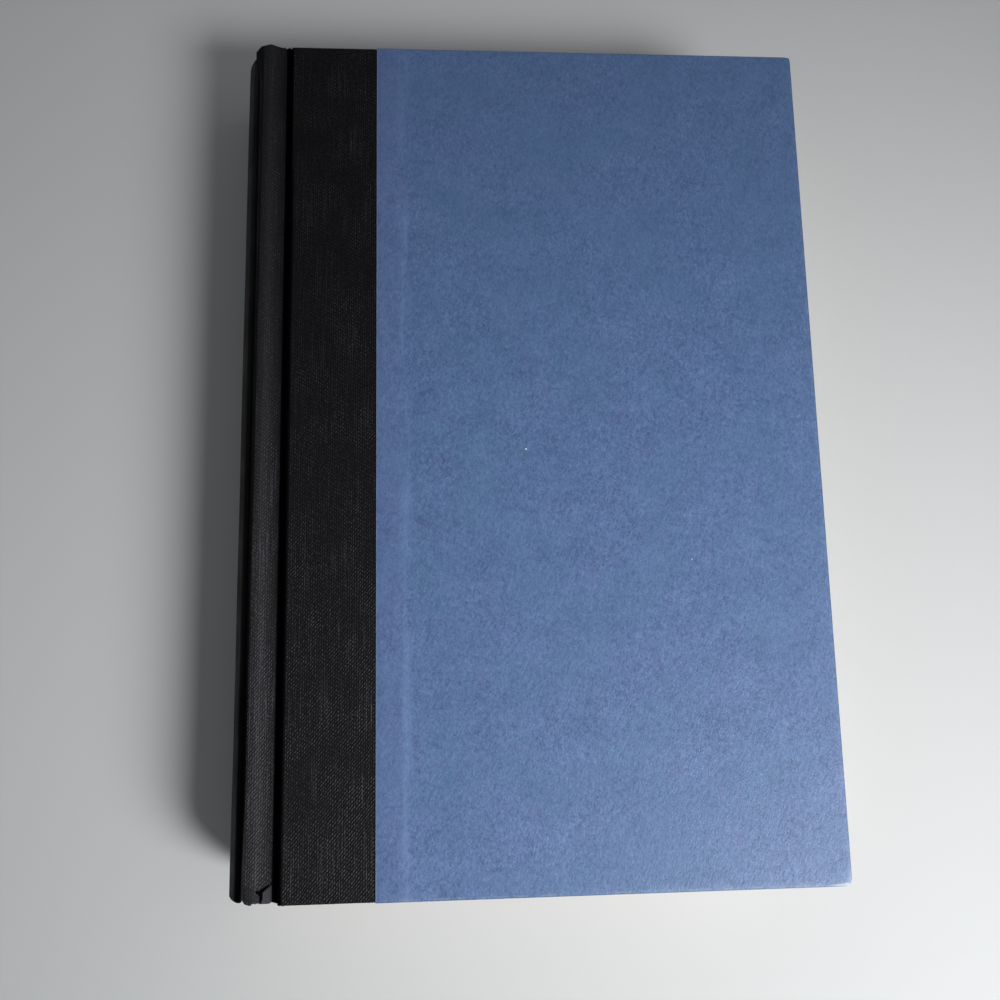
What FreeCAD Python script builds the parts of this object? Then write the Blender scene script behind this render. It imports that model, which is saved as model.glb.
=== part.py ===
"""Hardback book lying closed on its back cover: quarter-bound, with black cloth on the spine and
blue paper on the sides. Millimetres. X runs from the spine to the fore edge, Y from the tail to
the head, and Z up from the surface that the book lies on. The origin is the middle of the
bottom of the closed book's box."""

import FreeCAD
import Part
import math
import os

# Covers: two boards, each with its coverings
cover_height = 241.3        # tail to head
cover_width = 150.7         # spine-side edge to fore edge of one cover
cover_edge_round = 0.5
board_thickness = 2.5
covering_thickness = 0.3    # cloth or paper side, with its glue
cloth_on_board = 25.0       # cloth that shows on a cover, from its spine-side edge
cloth_under_paper = 8.0
turn_in = 15.0              # cloth and paper folded over onto the board's inner face

# Pages and endpapers
page_block_thickness = 29.1
square = 3.2                # overhang of the covers past the pages
fore_edge_hollow = 5.0      # depth of the curve in the pages' fore edge
endpaper_thickness = 0.2
leaf_gap = 0.2              # air between a pastedown and its free leaf

# Spine, measured out from the boards' spine-side edge and in from the covers' outer faces
spine_reach = 15.2          # furthest point of the spine
spine_bulge = 5.0           # how far the spine's round part stands out from its ends
strip_edge_depth = 3.3      # where the round part ends, at the edge of its card strip
joint_gap = 0.2             # between the cloth on the board and the cloth in the groove
groove_floor = 2.4          # far side of the groove's floor
groove_bend = 1.0           # bend of the cloth as it leaves the groove

# Ridge over the shoulder, measured back from the end of the round part: place, depth and bend
ridge_near = 5.6
ridge_near_depth = 0.45
ridge_near_bend = 1.2
ridge_crown = 3.6
ridge_crown_depth = 0.15
ridge_crown_bend = 4.0
ridge_far = 2.0
ridge_far_depth = 0.6
ridge_far_bend = 1.0
crease = 0.7
crease_depth = 3.1
crease_bend = 0.35
shoulder_foot = 5.7         # where the pages' shoulder starts to rise, at the endpapers' fold
shoulder_depth = 1.5        # tip of the pages' shoulder, below the cover's outer face

# Linings of the spine
mull_thickness = 0.3
mull_short = 12.0           # the gauze stops this far short of the pages' head and tail
mull_flange = 30.0          # gauze glued to the board, from its spine-side edge
lining_thickness = 0.2
lining_short = 1.0
lining_wrap = 0.94          # part of the way to the shoulders' tips that the lining covers
strip_thickness = 0.5
hollow_back = 0.5           # air between the spine's turn-ins and its linings
band_rise = 1.1             # bead of a head or tail band above the pages' end
band_width = 1.6
band_tape_thickness = 0.2
band_tape_length = 10.0
band_wrap = 0.9             # part of the way to the shoulders' tips that a band covers

# Tear in the cloth at the spine's tail, measured from the boards' spine-side edge and the tail
tear_near = 2.7
tear_length = 5.8
tear_top_reach = 3.6
tear_foot_near = 4.3
tear_foot_far = 5.4

cut_past = 5.0              # how far a cutting tool runs past what it cuts

# Places worked out from the sizes
lining_depth = covering_thickness + board_thickness          # board's inner face
turn_in_depth = lining_depth + covering_thickness            # face of the turn-ins
cover_depth = turn_in_depth + endpaper_thickness             # face of the pastedown
leaf_depth = cover_depth + leaf_gap                          # outer face of the free leaf
page_depth = leaf_depth + endpaper_thickness                 # face of the page block
book_thickness = page_block_thickness + 2 * page_depth
mid_height = book_thickness / 2
book_width = cover_width + spine_reach
fore_x = book_width / 2
edge_x = fore_x - cover_width                                # boards' spine-side edge
spine_x = -book_width / 2
round_start = spine_reach - spine_bulge                      # ends of the spine's round part
fold_x = edge_x - round_start + shoulder_foot
half_height = cover_height / 2
page_half = half_height - square
mull_half = page_half - mull_short
groove_depth = lining_depth - covering_thickness

# Round part of the spine: every layer shares one centre
round_half = mid_height - strip_edge_depth
spine_radius = (round_half ** 2 + spine_bulge ** 2) / (2 * spine_bulge)
centre_x = spine_x + spine_radius
strip_outer = spine_radius - covering_thickness
strip_inner = strip_outer - strip_thickness
fold_inner = strip_inner - covering_thickness
lining_outer = fold_inner - hollow_back
lining_inner = lining_outer - lining_thickness
page_radius = lining_inner - mull_thickness


def point(x, z, y=0.0):
    return FreeCAD.Vector(x, y, z)


def block(x0, x1, y0, y1, z0, z1):
    """A box between two opposite corners."""
    return Part.makeBox(x1 - x0, y1 - y0, z1 - z0, FreeCAD.Vector(x0, y0, z0))


def slab(x0, x1, half, depth0, depth1):
    """A box in the front cover: depths run down from the cover's outer face."""
    return block(x0, x1, -half, half, book_thickness - depth1, book_thickness - depth0)


def mirrored(shape):
    """The same piece at the back of the book."""
    return shape.mirror(FreeCAD.Vector(0, 0, mid_height), FreeCAD.Vector(0, 0, 1))


def one_solid(shape):
    """The single solid in a shape, with its split faces joined."""
    return shape.removeSplitter().Solids[0]


def extrude(edges, half):
    """The solid of a closed outline in the XZ plane, from -half to half along Y."""
    face = Part.Face(Part.Wire(edges))
    face.translate(FreeCAD.Vector(0, -half, 0))
    return face.extrude(FreeCAD.Vector(0, 2 * half, 0))


def corner_turn(before, corner, after):
    """Directions into and out of a corner, and the signed angle between them."""
    into = (corner[0] - before[0], corner[1] - before[1])
    out = (after[0] - corner[0], after[1] - corner[1])
    into = (into[0] / math.hypot(*into), into[1] / math.hypot(*into))
    out = (out[0] / math.hypot(*out), out[1] / math.hypot(*out))
    cross = into[0] * out[1] - into[1] * out[0]
    dot = into[0] * out[0] + into[1] * out[1]
    return into, out, math.atan2(cross, dot)


def rounded_path(corners):
    """Edges along (x, z, radius) corners: straight runs joined by tangent arcs."""
    edges = []
    last = point(*corners[0][:2])
    for before, corner, after in zip(corners, corners[1:], corners[2:]):
        into, out, turn = corner_turn(before, corner, after)
        reach = corner[2] * math.tan(abs(turn) / 2)
        start = point(corner[0] - into[0] * reach, corner[1] - into[1] * reach)
        end = point(corner[0] + out[0] * reach, corner[1] + out[1] * reach)
        side = 1 if turn > 0 else -1
        centre = start + point(-into[1] * side * corner[2], into[0] * side * corner[2])
        to_corner = point(*corner[:2]) - centre
        middle = centre + to_corner * (corner[2] / to_corner.Length)
        edges.append(Part.LineSegment(last, start).toShape())
        edges.append(Part.Arc(start, middle, end).toShape())
        last = end
    edges.append(Part.LineSegment(last, point(*corners[-1][:2])).toShape())
    return edges


def inset_corners(corners, distance):
    """The same corners moved to the left of the path's direction, with the radii to match."""
    moved = []
    for i, corner in enumerate(corners):
        if i in (0, len(corners) - 1):
            other = corners[1] if i == 0 else corners[-2]
            sign = 1 if i == 0 else -1
            along = (sign * (other[0] - corner[0]), sign * (other[1] - corner[1]))
            size = math.hypot(*along)
            moved.append((corner[0] - along[1] / size * distance,
                          corner[1] + along[0] / size * distance, 0.0))
            continue
        into, out, turn = corner_turn(corners[i - 1], corner, corners[i + 1])
        scale = distance / math.cos(turn / 2)
        middle = ((into[0] + out[0]) / 2, (into[1] + out[1]) / 2)
        size = math.hypot(*middle)
        radius = corner[2] - distance if turn > 0 else corner[2] + distance
        moved.append((corner[0] - middle[1] / size * scale,
                      corner[1] + middle[0] / size * scale, radius))
    return moved


def lower(corners):
    """The corners mirrored to the back of the book, in the opposite order."""
    return [(x, book_thickness - z, radius) for x, z, radius in reversed(corners)]


def ring_sector(inner, outer, half_angle, y0, y1):
    """Part of a ring round the spine's centre, from -half_angle to half_angle."""
    def on(radius, angle):
        return point(centre_x - radius * math.cos(angle), mid_height + radius * math.sin(angle), y0)
    edges = [
        Part.Arc(on(outer, -half_angle), on(outer, 0), on(outer, half_angle)).toShape(),
        Part.LineSegment(on(outer, half_angle), on(inner, half_angle)).toShape(),
        Part.Arc(on(inner, half_angle), on(inner, 0), on(inner, -half_angle)).toShape(),
        Part.LineSegment(on(inner, -half_angle), on(outer, -half_angle)).toShape(),
    ]
    return Part.Face(Part.Wire(edges)).extrude(FreeCAD.Vector(0, y1 - y0, 0))


def angle_at(radius, depth):
    """Angle above the spine's middle at which a ring lies at a depth below the front."""
    return math.asin((mid_height - depth) / radius)


def rounded_cover(x0, x1, depth0, depth1):
    """A stretch of the front cover's outer form, its long edges rounded."""
    far = x1 == fore_x
    body = slab(x0, x1, half_height, depth0, depth1)
    chosen = []
    for edge in body.Edges:
        a, b = (v.Point for v in edge.Vertexes)
        runs_x = abs(a.x - b.x) > covering_thickness
        at_fore = abs(a.x - fore_x) < 1e-6 and abs(b.x - fore_x) < 1e-6
        if runs_x or (far and at_fore):
            chosen.append(edge)
    return body.makeFillet(cover_edge_round, chosen)


def board():
    """Stiff grey board, pressed in under the cloth so that the cloth lies level with it."""
    panel = slab(edge_x + covering_thickness, fore_x - covering_thickness,
                 half_height - covering_thickness, covering_thickness, lining_depth)
    cloth_end = edge_x + cloth_on_board + cloth_under_paper
    sunk = slab(edge_x, cloth_end, half_height, 0, 2 * covering_thickness)
    return one_solid(panel.cut(sunk))


def turned_in(form, x0, x1, open_x0, open_x1, face_depth):
    """A covering wrapped round the board, its inner face open inside the turn-ins."""
    core = slab(x0, x1, half_height - covering_thickness, face_depth, lining_depth)
    window = slab(open_x0, open_x1, half_height - turn_in, lining_depth, turn_in_depth)
    return form.cut(core).cut(window)


def paper_side():
    """Blue paper over the rest of the board, folded in at the head, tail and fore edge."""
    start = edge_x + cloth_on_board
    form = rounded_cover(start, fore_x, 0, turn_in_depth)
    wrapped = turned_in(form, start, fore_x - covering_thickness,
                        start, fore_x - turn_in, covering_thickness)
    return one_solid(wrapped)


def cloth_panel():
    """Cloth on the board: over its outer face, spine-side edge and ends, and under the paper."""
    end = edge_x + cloth_on_board
    form = rounded_cover(edge_x, end, covering_thickness, turn_in_depth)
    wall = edge_x + covering_thickness
    wrapped = turned_in(form, wall, end, wall, end, 2 * covering_thickness)
    tongue = slab(end, end + cloth_under_paper, half_height - covering_thickness,
                  covering_thickness, 2 * covering_thickness)
    return one_solid(wrapped.fuse(tongue))


def mull_flange_piece():
    """Gauze glued to the board's inner face beside the joint."""
    return slab(edge_x + covering_thickness, edge_x + mull_flange, mull_half,
                lining_depth, lining_depth + mull_thickness)


def pastedown():
    """Endpaper leaf glued inside the cover: it lies over the turn-ins and dips between them."""
    start = edge_x + covering_thickness
    leaf = slab(start, fore_x - square, page_half, turn_in_depth, cover_depth)
    dip_start = edge_x + mull_flange
    dip_end = fore_x - turn_in
    dip_half = half_height - turn_in
    wall = endpaper_thickness
    tub = slab(dip_start, dip_end, dip_half, lining_depth, cover_depth)
    hollow = slab(dip_start + wall, dip_end - wall, dip_half - wall,
                  lining_depth + wall, cover_depth)
    window = slab(dip_start, dip_end, dip_half, turn_in_depth, cover_depth)
    return one_solid(leaf.cut(window).fuse(tub.cut(hollow)))


def flyleaf():
    """Free endpaper leaf on the pages, with its fold and the strip that leads to the pastedown."""
    leaf = slab(fold_x, fore_x - square, page_half, leaf_depth, page_depth)
    bend = slab(fold_x, fold_x + endpaper_thickness, page_half, turn_in_depth, page_depth)
    strip = slab(fold_x, edge_x - joint_gap, page_half, turn_in_depth, cover_depth)
    return one_solid(leaf.fuse(bend).fuse(strip).cut(fore_edge_tool()))


def fore_edge_tool():
    """What the knife takes off the fore edge once the spine is rounded."""
    fore = fore_x - square
    far = fore + cut_past
    top, foot = book_thickness - page_depth, page_depth
    edges = [
        Part.Arc(point(fore, foot), point(fore - fore_edge_hollow, mid_height),
                 point(fore, top)).toShape(),
        Part.LineSegment(point(fore, top), point(far, top)).toShape(),
        Part.LineSegment(point(far, top), point(far, foot)).toShape(),
        Part.LineSegment(point(far, foot), point(fore, foot)).toShape(),
    ]
    return extrude(edges, half_height)


def shoulder_corners(grow):
    """Front half of the page block's spine side, grown outwards: groove, shoulder, tip."""
    tip_x = centre_x - math.sqrt(page_radius ** 2 - (mid_height - shoulder_depth) ** 2)
    flare = math.atan2(page_depth - shoulder_depth, fold_x - tip_x)
    flat = book_thickness - turn_in_depth + grow
    rise = turn_in_depth - grow - shoulder_depth
    shift = grow / math.sin(flare)
    on_flat = tip_x + rise / math.tan(flare) + shift
    radius = page_radius + grow
    tip_angle = math.asin((mid_height - shoulder_depth) / page_radius)
    tip_angle += grow / (2 * radius)
    tip = (centre_x - radius * math.cos(tip_angle), mid_height + radius * math.sin(tip_angle))
    return [(edge_x - joint_gap, flat), (on_flat, flat), tip]


def spine_outline(grow):
    """Closed outline of the pages' spine side, grown outwards by a lining's thickness."""
    upper = shoulder_corners(grow)
    points = [point(x, z) for x, z in upper]
    below = [point(x, book_thickness - z) for x, z in reversed(upper)]
    apex = point(centre_x - page_radius - grow, mid_height)
    edges = [Part.LineSegment(a, b).toShape() for a, b in zip(points, points[1:])]
    edges.append(Part.Arc(points[-1], apex, below[0]).toShape())
    edges += [Part.LineSegment(a, b).toShape() for a, b in zip(below, below[1:])]
    edges.append(Part.LineSegment(below[-1], points[0]).toShape())
    return edges


def page_block():
    """All the pages as one solid: rounded and backed at the spine, hollow at the fore edge."""
    fore = fore_x - square
    top, foot = book_thickness - page_depth, page_depth
    tip = shoulder_corners(0)[2]
    low_tip = (tip[0], book_thickness - tip[1])
    edges = [
        Part.LineSegment(point(fore, top), point(fold_x, top)).toShape(),
        Part.LineSegment(point(fold_x, top), point(*tip)).toShape(),
        Part.Arc(point(*tip), point(centre_x - page_radius, mid_height),
                 point(*low_tip)).toShape(),
        Part.LineSegment(point(*low_tip), point(fold_x, foot)).toShape(),
        Part.LineSegment(point(fold_x, foot), point(fore, foot)).toShape(),
        Part.Arc(point(fore, foot), point(fore - fore_edge_hollow, mid_height),
                 point(fore, top)).toShape(),
    ]
    return extrude(edges, page_half)


def mull():
    """Open-weave gauze glued round the pages' spine and out into both joints."""
    solid = extrude(spine_outline(mull_thickness), mull_half)
    core = extrude(spine_outline(0), page_half)
    return one_solid(solid.cut(core).cut(page_block()))


def spine_lining():
    """Brown paper glued over the gauze."""
    half = page_half - lining_short
    angle = angle_at(page_radius, shoulder_depth) * lining_wrap
    return ring_sector(lining_inner, lining_outer, angle, -half, half)


def strip_angle():
    """Half the angle that the spine's card strip covers."""
    return angle_at(spine_radius, strip_edge_depth) - 2 * strip_thickness / spine_radius


def spine_strip():
    """Bendable card inside the spine's cloth."""
    half = half_height - covering_thickness
    return ring_sector(strip_inner, strip_outer, strip_angle(), -half, half)


def spine_cloth():
    """Cloth from groove to groove: ridge over the shoulder, crease at the strip, round back."""
    def at(reach, depth, radius):
        return (edge_x - reach, book_thickness - depth, radius)
    upper = [
        at(joint_gap, groove_depth, 0),
        at(groove_floor, groove_depth, groove_bend),
        at(round_start - ridge_near, ridge_near_depth, ridge_near_bend),
        at(round_start - ridge_crown, ridge_crown_depth, ridge_crown_bend),
        at(round_start - ridge_far, ridge_far_depth, ridge_far_bend),
        at(round_start - crease, crease_depth, crease_bend),
        at(round_start, strip_edge_depth, 0),
    ]
    inner = inset_corners(upper, covering_thickness)
    start_angle = angle_at(spine_radius, strip_edge_depth)
    inner[-1] = (centre_x - strip_outer * math.cos(start_angle),
                 mid_height + strip_outer * math.sin(start_angle), 0)
    outer_edges = rounded_path(upper)
    outer_edges.append(Part.Arc(point(*upper[-1][:2]), point(spine_x, mid_height),
                                point(*lower(upper)[0][:2])).toShape())
    outer_edges += rounded_path(lower(upper))
    inner_edges = rounded_path(inner)
    inner_edges.append(Part.Arc(point(*inner[-1][:2]), point(centre_x - strip_outer, mid_height),
                                point(*lower(inner)[0][:2])).toShape())
    inner_edges += rounded_path(lower(inner))
    ends = [Part.LineSegment(point(*a[0][:2]), point(*b[0][:2])).toShape()
            for a, b in ((upper, inner), (lower(upper)[::-1], lower(inner)[::-1]))]
    wire = Part.Wire(Part.__sortEdges__(outer_edges + inner_edges + ends))
    face = Part.Face(wire)
    face.translate(FreeCAD.Vector(0, -half_height, 0))
    skin = face.extrude(FreeCAD.Vector(0, cover_height, 0))
    for side in (-1, 1):
        end_y = sorted((side * half_height, side * (half_height - covering_thickness)))
        fold_y = sorted((side * half_height, side * (half_height - turn_in)))
        cap = ring_sector(fold_inner, strip_outer, strip_angle(), *end_y)
        fold = ring_sector(fold_inner, strip_inner, strip_angle(), *fold_y)
        skin = skin.fuse(cap).fuse(fold)
    return one_solid(skin.cut(tear_tool()))


def tear_tool():
    """The gap that the tear leaves in the ridge's cloth at the tail."""
    tail = -half_height
    plan = [(tear_near, tear_length), (tear_top_reach, tear_length), (tear_foot_far, 0),
            (tear_foot_far, -cut_past), (tear_foot_near, -cut_past), (tear_foot_near, 0)]
    corners = [FreeCAD.Vector(edge_x - reach, tail + up, mid_height) for reach, up in plan]
    face = Part.Face(Part.makePolygon(corners + corners[:1]))
    return face.extrude(FreeCAD.Vector(0, 0, book_thickness))


def end_band(side):
    """Woven band at the head (1) or tail (-1) of the spine: a bead on a glued tape."""
    start = side * page_half
    foot_outer = lining_outer + band_tape_thickness
    foot_inner = foot_outer - band_width
    angle = angle_at(page_radius, shoulder_depth) * band_wrap

    def at(radius, rise):
        return FreeCAD.Vector(centre_x - radius, start + side * rise, mid_height)
    bead_face = Part.Face(Part.Wire([
        Part.Arc(at(foot_inner, 0), at((foot_inner + foot_outer) / 2, band_rise),
                 at(foot_outer, 0)).toShape(),
        Part.LineSegment(at(foot_outer, 0), at(foot_inner, 0)).toShape(),
    ]))
    hub = FreeCAD.Vector(centre_x, 0, mid_height)
    axis = FreeCAD.Vector(0, 1, 0)
    bead_face.rotate(hub, axis, -math.degrees(angle))
    bead = bead_face.revolve(hub, axis, 2 * math.degrees(angle))
    tape_y = sorted((start, start - side * band_tape_length))
    tape = ring_sector(lining_outer, foot_outer, angle, *tape_y)
    return one_solid(bead.fuse(tape))


def main():
    os.makedirs("parts", exist_ok=True)
    cover_pieces = {
        "board": board(),
        "paper_side": paper_side(),
        "cloth_panel": cloth_panel(),
        "mull_flange": mull_flange_piece(),
        "pastedown": pastedown(),
        "flyleaf": flyleaf(),
    }
    pieces = {
        "page_block": page_block(),
        "mull": mull(),
        "spine_lining": spine_lining(),
        "spine_strip": spine_strip(),
        "spine_cloth": spine_cloth(),
        "head_band": end_band(1),
        "tail_band": end_band(-1),
    }
    for name, shape in cover_pieces.items():
        pieces["front_" + name] = shape
        pieces["back_" + name] = mirrored(shape)
    for name, shape in pieces.items():
        shape.exportStep("parts/" + name + ".step")
        print(name, len(shape.Solids), "solid", round(shape.Volume, 1), "mm3", shape.isValid())


main()
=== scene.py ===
"""Used hardback book, quarter-bound in black cloth and blue paper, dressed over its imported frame.
Metres. +X runs to the fore edge, +Y to the head and +Z up; the book lies on its back cover."""
import math
import random

import bpy
from mathutils import Matrix, Vector, noise


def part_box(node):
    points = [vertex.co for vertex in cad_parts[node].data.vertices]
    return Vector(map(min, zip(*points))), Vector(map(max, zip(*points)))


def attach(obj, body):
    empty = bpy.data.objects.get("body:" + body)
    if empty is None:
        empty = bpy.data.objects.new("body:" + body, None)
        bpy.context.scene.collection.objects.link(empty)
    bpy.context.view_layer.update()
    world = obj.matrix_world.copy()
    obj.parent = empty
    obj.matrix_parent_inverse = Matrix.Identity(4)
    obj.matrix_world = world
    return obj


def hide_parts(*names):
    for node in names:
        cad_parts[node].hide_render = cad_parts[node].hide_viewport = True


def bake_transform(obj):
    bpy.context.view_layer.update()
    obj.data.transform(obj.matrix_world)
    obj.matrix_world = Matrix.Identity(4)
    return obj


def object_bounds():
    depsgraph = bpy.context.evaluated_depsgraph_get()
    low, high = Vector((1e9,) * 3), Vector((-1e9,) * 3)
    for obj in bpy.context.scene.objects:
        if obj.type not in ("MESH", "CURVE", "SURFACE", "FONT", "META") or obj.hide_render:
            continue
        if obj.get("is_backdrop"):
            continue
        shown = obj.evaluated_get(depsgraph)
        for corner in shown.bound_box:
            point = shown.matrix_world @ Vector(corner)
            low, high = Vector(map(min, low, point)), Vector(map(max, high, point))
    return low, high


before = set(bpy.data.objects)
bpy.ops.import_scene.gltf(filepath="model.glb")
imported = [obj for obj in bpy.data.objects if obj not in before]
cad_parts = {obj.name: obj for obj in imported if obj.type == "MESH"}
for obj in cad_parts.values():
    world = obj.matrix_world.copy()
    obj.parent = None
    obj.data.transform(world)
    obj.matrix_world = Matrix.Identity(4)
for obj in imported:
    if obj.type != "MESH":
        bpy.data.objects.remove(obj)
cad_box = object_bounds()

bl_info = {
    "name": "Quarter-bound book",
    "version": (1, 0, 0),
    "blender": (4, 5, 0),
    "location": "View3D > Sidebar > Book",
    "description": "Dresses a hardback book: cloth, paper sides, pages, endpapers and wear",
    "category": "Object",
}

MM = 0.001
NEAR = 0.01 * MM
SHARP = math.radians(60)
SIDES = ("front", "back")

# Places taken from the frame. EDGE is the boards' edge at the spine, PAPER_EDGE the start of the
# paper side, FORE the fore edge, HALF the cover's half height and FOLD the endpaper's fold.
PAPER_LOW, PAPER_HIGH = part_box("front_paper_side")
CLOTH_LOW, CLOTH_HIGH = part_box("front_cloth_panel")
BOARD_LOW, BOARD_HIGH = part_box("front_board")
PAGES_LOW, PAGES_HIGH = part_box("page_block")
LEAF_LOW, LEAF_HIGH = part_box("front_flyleaf")
PASTEDOWN_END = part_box("front_pastedown")[1].x
CARD_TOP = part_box("spine_strip")[1].z
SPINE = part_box("spine_cloth")[0].x
TOP = PAPER_HIGH.z
MIDDLE = TOP / 2
EDGE = CLOTH_LOW.x
PAPER_EDGE = PAPER_LOW.x
FORE = PAPER_HIGH.x
HALF = PAPER_HIGH.y
COVER_THICKNESS = PAPER_HIGH.z - PAPER_LOW.z
COVERING = PAPER_HIGH.z - CLOTH_HIGH.z
BOARD = BOARD_HIGH.z - BOARD_LOW.z
FOLD = LEAF_LOW.x

# Length of the cloth's mesh squares over the groove, the ridge and the ends
FINE_STEP = 0.26 * MM
# Depth of the ridge's crest below the cover's face, in millimetres
WORN_CREST = -0.45
SOUND_CREST = 0.05
# Where the spine's round part starts: reach from the boards' edge and depth, in millimetres
ROUND_START = (10.2, 3.3)
# How far the spine's cloth stands past the covers' ends: reach and rise, in millimetres
HEAD_CAP = ((0.0, 0.0), (0.8, 0.6), (1.6, 0.5), (2.6, 0.0), (4.2, 0.1), (5.2, 0.32), (6.0, 0.42),
            (7.4, 0.35), (8.3, 0.15), (9.3, -0.3), (10.2, -0.8), (11.5, -0.95), (14.0, -0.6),
            (17.0, -0.2), (20.0, 0.0))
TAIL_CAP = ((0.0, 0.0), (1.5, 0.25), (9.0, 0.25), (10.5, -0.3), (12.5, -0.4), (17.0, 0.0))
WORN_TAIL_CAP = ((0.0, -0.1), (1.6, -0.6), (3.7, -0.8), (5.3, -0.9), (6.2, -1.05), (6.45, -0.55),
                 (7.0, -0.45), (8.3, -0.85), (9.1, -1.35), (9.9, -1.0), (10.8, -0.3), (12.5, -0.15),
                 (20.0, -0.1))
# The crack in the ridge's cloth and its hole: reach, height above the tail edge and half width
CRACK = ((1.6, 5.4, 0.16), (2.7, 4.8, 0.30), (3.5, 4.2, 0.50), (4.3, 3.6, 0.60), (3.9, 2.5, 0.42),
         (4.1, 1.2, 0.24))
HOLE = (4.9, 3.7, 0.42)
# Numbers stored on the cloth's mesh, each from 0 up: rubbed ribs with a painted sheen on the ridge, ribs
# worn off, painted black shade, painted highlight on the lifted flap
MARKS = ("wear", "bald", "deep", "pale")

# Length of the pages' rounded part, the spacing of its cuts and the depth of the hollow fore edge
ROUNDED = 13 * MM
ROUNDED_STEP = 0.5 * MM
FORE_HOLLOW = 5.0 * MM
LEAF_SEED = 7

# Specks of lint on the front paper side: place in millimetres and strength
LINT = (((-1.1, -1.7, 36.5), 1.0), ((44.4, -33.2, 36.5), 0.5))
LINT_COLOUR = (0.95, 0.95, 0.95)


def length(name, description, default):
    """A property in metres."""
    return bpy.props.FloatProperty(name=name, description=description, default=default,
                                   unit="LENGTH", precision=5)


def colour(name, description, default):
    """A property that holds a linear colour."""
    return bpy.props.FloatVectorProperty(name=name, description=description, default=default,
                                         subtype="COLOR", size=3)


class BookSizes(bpy.types.PropertyGroup):
    """Sizes of the dressing that the frame does not fix."""
    cloth_thickness: length("Cloth thickness", "Thickness of the book cloth", 0.3 * MM)
    turn_in: length("Turn-in", "Width of cloth and paper folded over inside the cover", 15 * MM)
    edge_round: length("Edge rounding", "Rounding of the covers' edges", 0.55 * MM)
    cloth_under_paper: length("Cloth under paper", "How far the cloth runs on under the paper side", 8 * MM)
    rib_pitch: length("Rib pitch", "Distance between the cloth's slanting ribs", 0.68 * MM)
    rib_slant: bpy.props.FloatProperty(
        name="Rib slant", description="Angle of the cloth's ribs above the level",
        default=math.radians(50), subtype="ANGLE")
    thread_pitch: length("Thread pitch", "Distance between the cloth's upright threads", 0.62 * MM)
    leaf_layers: bpy.props.IntProperty(
        name="Leaf layers", description="Layers modelled across the pages", default=120)


class BookColours(bpy.types.PropertyGroup):
    """Colours of the finishes, as linear values."""
    cloth: colour("Cloth", "Black book cloth", (0.0032, 0.0032, 0.0042))
    # Also the colour of the painted sheen on the ridge and of the painted highlight on the lifted flap
    cloth_worn_and_sheen: colour("Worn cloth", "Rubbed tops of the cloth's ribs", (0.120, 0.120, 0.134))
    # Laid as painted shade over the groove, the ridge's far flank and the inside of the crack; in the
    # groove it is partly the real unrubbed cloth
    groove: colour("Groove", "Unrubbed cloth in the grooves", (0.0012, 0.0012, 0.0015))
    paper_light: colour("Light fibres", "Pale fibres in the blue paper", (0.178, 0.285, 0.535))
    paper_dark: colour("Dark fibres", "Dark fibres in the blue paper", (0.048, 0.098, 0.235))
    paper_cool: colour("Cool tint", "Greener parts of the blue paper", (0.090, 0.200, 0.365))
    paper_warm: colour("Violet tint", "Violet flecks in the blue paper", (0.140, 0.165, 0.390))
    paper_core: colour("Paper core", "Pale core where the paper side is rubbed through", (0.62, 0.64, 0.66))
    pages: colour("Pages", "Cut edges of the pages", (0.76, 0.69, 0.55))
    endpaper: colour("Endpaper", "Plain endpapers", (0.80, 0.75, 0.64))
    board: colour("Board", "Grey board", (0.26, 0.23, 0.19))
    card: colour("Spine card", "Card inside the spine", (0.40, 0.34, 0.25))
    lining: colour("Spine lining", "Brown paper glued over the gauze", (0.38, 0.24, 0.12))
    gauze: colour("Gauze", "Threads of the gauze", (0.80, 0.77, 0.70))
    glue: colour("Glue", "Old glue between the gauze's threads", (0.52, 0.45, 0.33))
    band_dark: colour("Dark band thread", "Dark thread of the end bands", (0.018, 0.026, 0.060))
    band_light: colour("Light band thread", "Light thread of the end bands", (0.62, 0.58, 0.50))
    floor: colour("Floor", "Pale floor", (0.68, 0.69, 0.695))


def sizes():
    """The scene's sizes."""
    return bpy.context.scene.book_sizes


def colours():
    """The scene's colours."""
    return bpy.context.scene.book_colours


# Shader maths

class Signal:
    """A socket of a material, so that shader maths can be written as Python expressions."""

    def __init__(self, finish, socket):
        self.finish = finish
        self.socket = socket

    def math(self, operation, *values):
        return self.finish.node("ShaderNodeMath", {"operation": operation}, (self, *values))

    def __add__(self, other):
        return self.math("ADD", other)

    __radd__ = __add__

    def __sub__(self, other):
        return self.math("SUBTRACT", other)

    def __rsub__(self, other):
        return self.finish.node("ShaderNodeMath", {"operation": "SUBTRACT"}, (other, self))

    def __mul__(self, other):
        return self.math("MULTIPLY", other)

    __rmul__ = __mul__

    def __truediv__(self, other):
        return self.math("DIVIDE", other)

    def __pow__(self, other):
        return self.math("POWER", other)

    def wave(self, pitch=1.0):
        """A sine from -1 to 1 that repeats over the pitch."""
        return (self * (2 * math.pi / pitch)).math("SINE")

    def ramp(self, low, high):
        """0 below low, 1 above high, smooth between."""
        return self.finish.node("ShaderNodeMapRange", {"interpolation_type": "SMOOTHSTEP"},
                                {"Value": self, "From Min": low, "From Max": high})


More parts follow.
